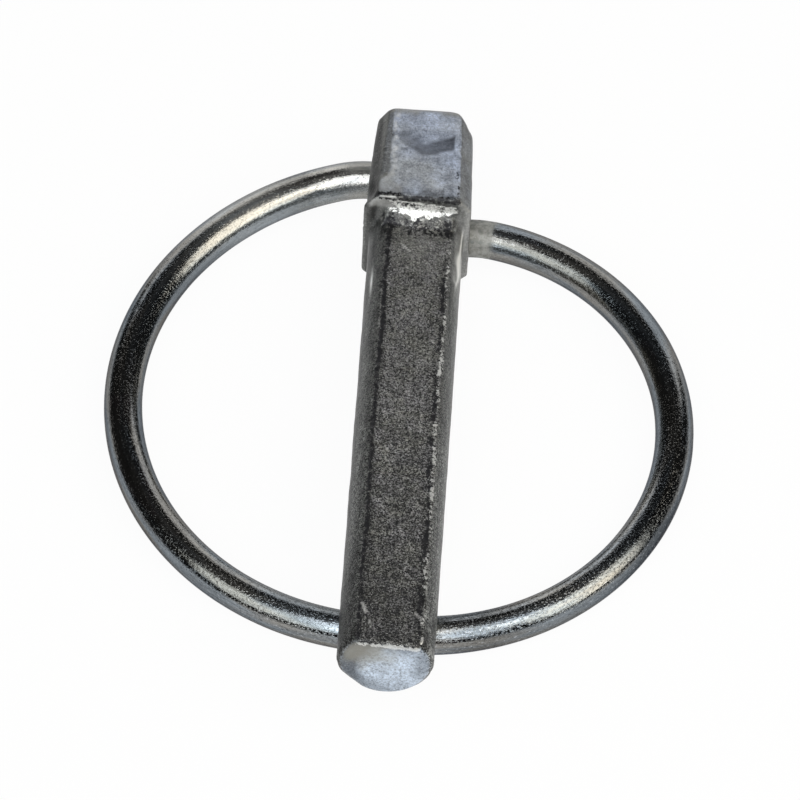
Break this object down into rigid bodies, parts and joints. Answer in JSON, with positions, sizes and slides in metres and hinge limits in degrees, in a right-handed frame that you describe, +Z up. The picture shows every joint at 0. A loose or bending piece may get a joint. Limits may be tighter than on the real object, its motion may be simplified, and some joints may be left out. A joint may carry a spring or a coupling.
{
  "type": "lynch pin",
  "caption": "Forged lynch pin with a squared head, a flat along its shank and a spring wire ring that swings over the head to lock it.",
  "frame": {"origin": "on the surface that the pin lies on, under the middle of its bounding box", "axes": "+Y along the pin toward its head, +Z up out of the surface, +X to the right as seen from the tip; the tip points to -Y"},
  "size_m": [0.062, 0.0712, 0.0142],
  "materials": {
    "plated_forging": "matte, mottled zinc plating over a rough forging",
    "plated_wire": "bright zinc plating over drawn wire"
  },
  "bodies": {
    "pin": {"forged_pin": "plated_forging"},
    "ring": {"spring_ring": "plated_wire"}
  },
  "joints": [
    {"name": "ring_swing", "type": "hinge", "parent": "pin", "child": "ring", "pos_m": [0.00081, 0.02851, 0.0044], "axis": [1, 0, 0], "range_deg": [0, 345.4], "deforming": ["spring_ring"]}
  ]
}
